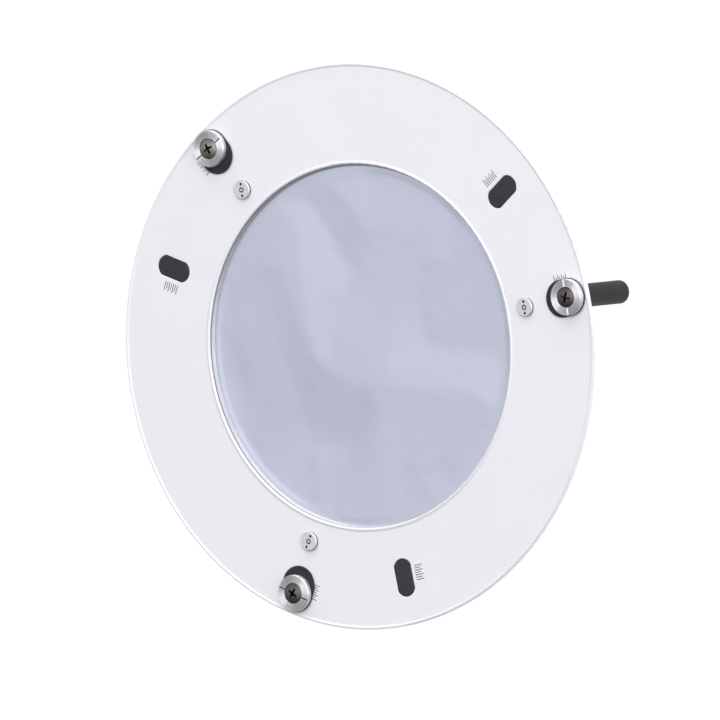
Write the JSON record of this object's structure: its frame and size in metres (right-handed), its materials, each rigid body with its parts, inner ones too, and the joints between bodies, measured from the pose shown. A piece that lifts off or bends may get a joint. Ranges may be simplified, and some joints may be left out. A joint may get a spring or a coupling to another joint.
{
  "type": "telescope solar filter",
  "caption": "Round white filter cell with stretched silvery film over a large central opening, held on a telescope tube by radially sliding clamp posts with index discs and screws.",
  "frame": {"origin": "under the centre of the clear opening, at the level of the tips of the three clamp posts that the part rests on", "axes": "+Z is the optical axis and points out of the white front face; +X runs through clamp a; clamps b and c are 120 and 240 degrees round from it"},
  "size_m": [0.2337, 0.2336, 0.0402],
  "materials": {
    "white_coat": "satin white coating on aluminium sheet",
    "foil": "wrinkled metallised film, bluish silver",
    "frame_metal": "thin satin sheet",
    "ring_metal": "turned and lightly etched",
    "turned_metal": "face-turned, bright",
    "bright_steel": "nickelled, bright satin",
    "screw_steel": "polished stainless, slightly darkened",
    "black_polymer": "matt black moulded plastic"
  },
  "bodies": {
    "cell": {"front_plate": "white_coat", "film_frame": "frame_metal", "solar_film": "foil", "retaining_ring": "ring_metal", "spanner_screw_a": "bright_steel", "spanner_screw_b": "bright_steel", "spanner_screw_c": "bright_steel", "lock_nut_a": "bright_steel", "lock_nut_b": "bright_steel", "lock_nut_c": "bright_steel", "slot_plug_a": "black_polymer", "slot_plug_b": "black_polymer", "slot_plug_c": "black_polymer"},
    "clamp_a": {"clamp_post_a": "black_polymer", "slide_pad_a": "black_polymer"},
    "disc_a": {"index_disc_a": "turned_metal"},
    "screw_a": {"clamp_screw_a": "screw_steel"},
    "clamp_b": {"clamp_post_b": "black_polymer", "slide_pad_b": "black_polymer"},
    "disc_b": {"index_disc_b": "turned_metal"},
    "screw_b": {"clamp_screw_b": "screw_steel"},
    "clamp_c": {"clamp_post_c": "black_polymer", "slide_pad_c": "black_polymer"},
    "disc_c": {"index_disc_c": "turned_metal"},
    "screw_c": {"clamp_screw_c": "screw_steel"}
  },
  "joints": [
    {"name": "clamp_a_slide", "type": "slide", "parent": "cell", "child": "clamp_a", "axis": [1, 0, 0], "range_m": [-0.0055, 0.0011]},
    {"name": "disc_a_lift", "type": "slide", "parent": "clamp_a", "child": "disc_a", "axis": [0, 0, 1], "range_m": [0, 0.0014]},
    {"name": "screw_a_turn", "type": "hinge", "parent": "disc_a", "child": "screw_a", "pos_m": [0.1077, 0, 0.03], "axis": [0, 0, 1], "range_deg": [0, 720]},
    {"name": "clamp_b_slide", "type": "slide", "parent": "cell", "child": "clamp_b", "axis": [-0.5, 0.866, 0], "range_m": [-0.0055, 0.0011]},
    {"name": "disc_b_lift", "type": "slide", "parent": "clamp_b", "child": "disc_b", "axis": [0, 0, 1], "range_m": [0, 0.0014]},
    {"name": "screw_b_turn", "type": "hinge", "parent": "disc_b", "child": "screw_b", "pos_m": [-0.05385, 0.09327, 0.03], "axis": [0, 0, 1], "range_deg": [0, 720]},
    {"name": "clamp_c_slide", "type": "slide", "parent": "cell", "child": "clamp_c", "axis": [-0.5, -0.866, 0], "range_m": [-0.0055, 0.0011]},
    {"name": "disc_c_lift", "type": "slide", "parent": "clamp_c", "child": "disc_c", "axis": [0, 0, 1], "range_m": [0, 0.0014]},
    {"name": "screw_c_turn", "type": "hinge", "parent": "disc_c", "child": "screw_c", "pos_m": [-0.05385, -0.09327, 0.03], "axis": [0, 0, 1], "range_deg": [0, 720]}
  ],
  "couplings": [
    {"joint": "screw_a_turn", "follows": "disc_a_lift", "rad_per_m": 8976},
    {"joint": "screw_b_turn", "follows": "disc_b_lift", "rad_per_m": 8976},
    {"joint": "screw_c_turn", "follows": "disc_c_lift", "rad_per_m": 8976}
  ]
}
